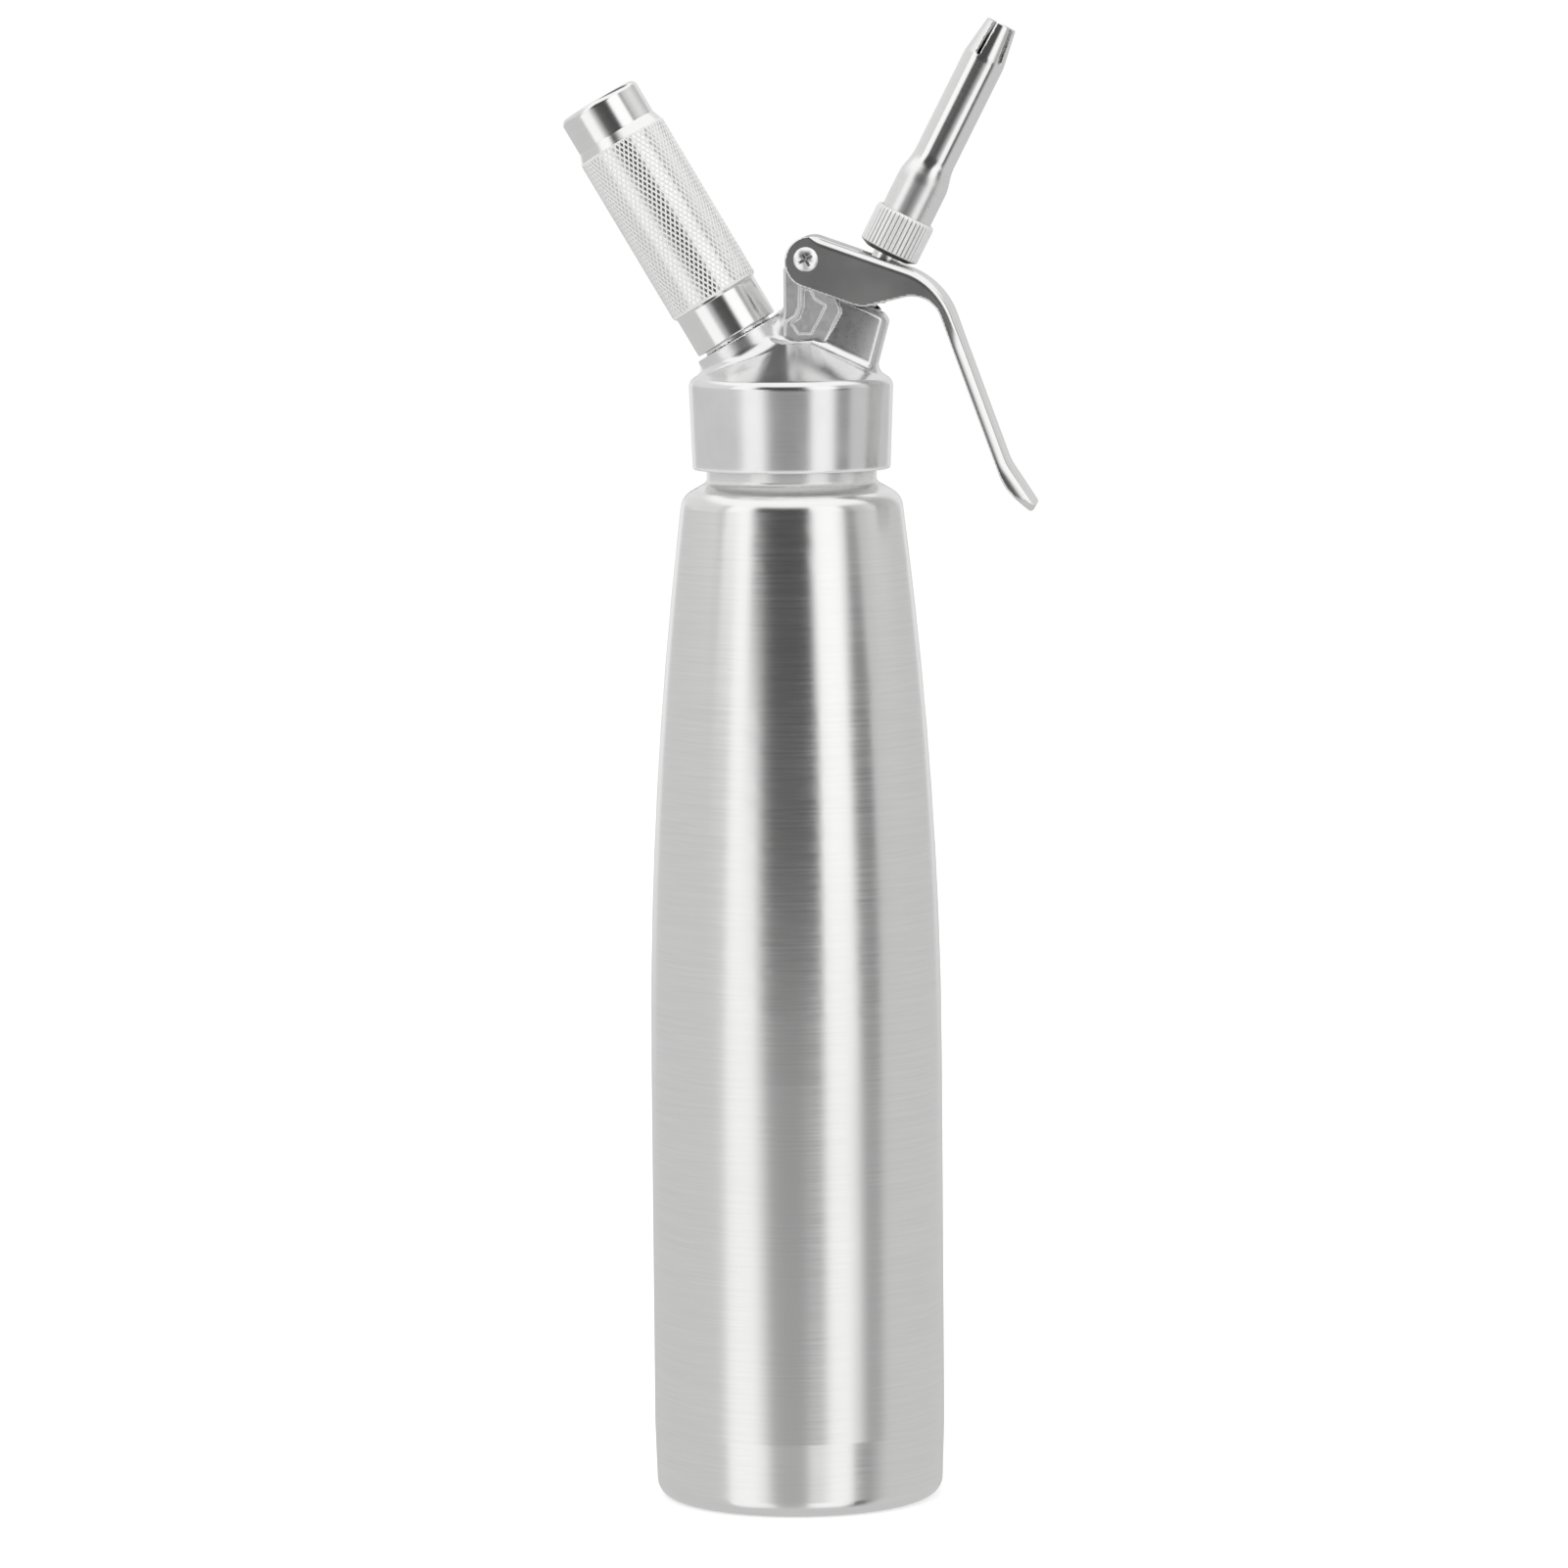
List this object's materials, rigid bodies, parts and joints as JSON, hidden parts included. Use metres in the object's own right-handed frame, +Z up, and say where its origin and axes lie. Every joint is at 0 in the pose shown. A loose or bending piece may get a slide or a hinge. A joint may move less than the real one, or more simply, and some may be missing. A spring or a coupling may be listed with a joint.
{
  "type": "whipped cream dispenser",
  "caption": "Tall metal siphon bottle with a screw-on head, squeeze lever, tilted ribbed nozzle and knurled gas charger holder.",
  "frame": {"origin": "centre of the foot ring, on the surface that the bottle stands on", "axes": "+Z up along the bottle's axis; +X towards the nozzle and the lever, -X towards the charger holder; the lever's pivot lies along Y"},
  "size_m": [0.1253, 0.078, 0.3955],
  "materials": {
    "bottle_steel": "satin stainless steel, finely brushed round the bottle",
    "gasket_silicone": "matt red silicone",
    "head_alloy": "satin cast metal, the turned collar and dome brighter",
    "pin_steel": "plain turned steel",
    "seal_rubber": "matt black rubber",
    "valve_steel": "bright turned stainless steel",
    "bush_plastic": "natural off-white acetal",
    "spring_steel": "drawn stainless wire",
    "bulb_steel": "zinc plated, dull",
    "holder_alloy": "satin, with a matt knurled grip",
    "nozzle_steel": "satin stainless steel",
    "lever_steel": "satin pressed stainless sheet",
    "pivot_steel": "bright pan-headed fastener"
  },
  "bodies": {
    "bottle": {"bottle": "bottle_steel"},
    "gasket": {"head_gasket": "gasket_silicone"},
    "head": {"dispenser_head": "head_alloy", "piercing_pin": "pin_steel", "charger_seal": "seal_rubber", "check_valve_body": "valve_steel", "check_valve_sleeve": "seal_rubber", "stem_o_ring": "seal_rubber", "stem_guide_bush": "bush_plastic", "valve_spring": "spring_steel"},
    "charger": {"gas_charger": "bulb_steel"},
    "holder": {"charger_holder": "holder_alloy"},
    "valve": {"valve_stem": "valve_steel", "valve_seal": "gasket_silicone", "thrust_nut": "valve_steel"},
    "nozzle_washer": {"nozzle_seal": "seal_rubber"},
    "nozzle": {"nozzle_nut": "nozzle_steel", "nozzle_tube": "nozzle_steel"},
    "lever_arm": {"lever": "lever_steel", "pivot_sleeve": "pivot_steel", "pivot_screw": "pivot_steel"}
  },
  "joints": [
    {"name": "head_lift", "type": "slide", "parent": "bottle", "child": "gasket", "axis": [0, 0, 1], "range_m": [0, 0.021]},
    {"name": "head_turn", "type": "hinge", "parent": "gasket", "child": "head", "pos_m": [0, 0, 0.293], "axis": [0, 0, 1], "range_deg": [0, 2163]},
    {"name": "charger_rise", "type": "slide", "parent": "head", "child": "charger", "axis": [-0.5075, 0, 0.8616], "range_m": [0, 0.0105]},
    {"name": "charger_turn", "type": "hinge", "parent": "charger", "child": "holder", "pos_m": [-0.0138, 0, 0.31135], "axis": [-0.5075, 0, 0.8616], "range_deg": [0, 2163]},
    {"name": "valve_slide", "type": "slide", "parent": "head", "child": "valve", "axis": [0.454, 0, 0.891], "range_m": [-0.0025, 0], "deforming": ["valve_spring"]},
    {"name": "nozzle_rise", "type": "slide", "parent": "valve", "child": "nozzle_washer", "axis": [0.454, 0, 0.891], "range_m": [0, 0.008]},
    {"name": "nozzle_turn", "type": "hinge", "parent": "nozzle_washer", "child": "nozzle", "pos_m": [0.0188, 0, 0.3194], "axis": [0.454, 0, 0.891], "range_deg": [0, 2884]},
    {"name": "lever_squeeze", "type": "hinge", "parent": "head", "child": "lever_arm", "pos_m": [0.0049, 0, 0.33225], "axis": [0, 1, 0], "range_deg": [0, 8], "stiffness_Nm_per_rad": 0.48, "springref_deg": -14.32}
  ],
  "couplings": [
    {"joint": "head_turn", "follows": "head_lift", "rad_per_m": 1795.2},
    {"joint": "charger_turn", "follows": "charger_rise", "rad_per_m": 3590.4},
    {"joint": "nozzle_turn", "follows": "nozzle_rise", "rad_per_m": 6283.2},
    {"joint": "lever_squeeze", "follows": "valve_slide", "rad_per_m": -55.83}
  ]
}
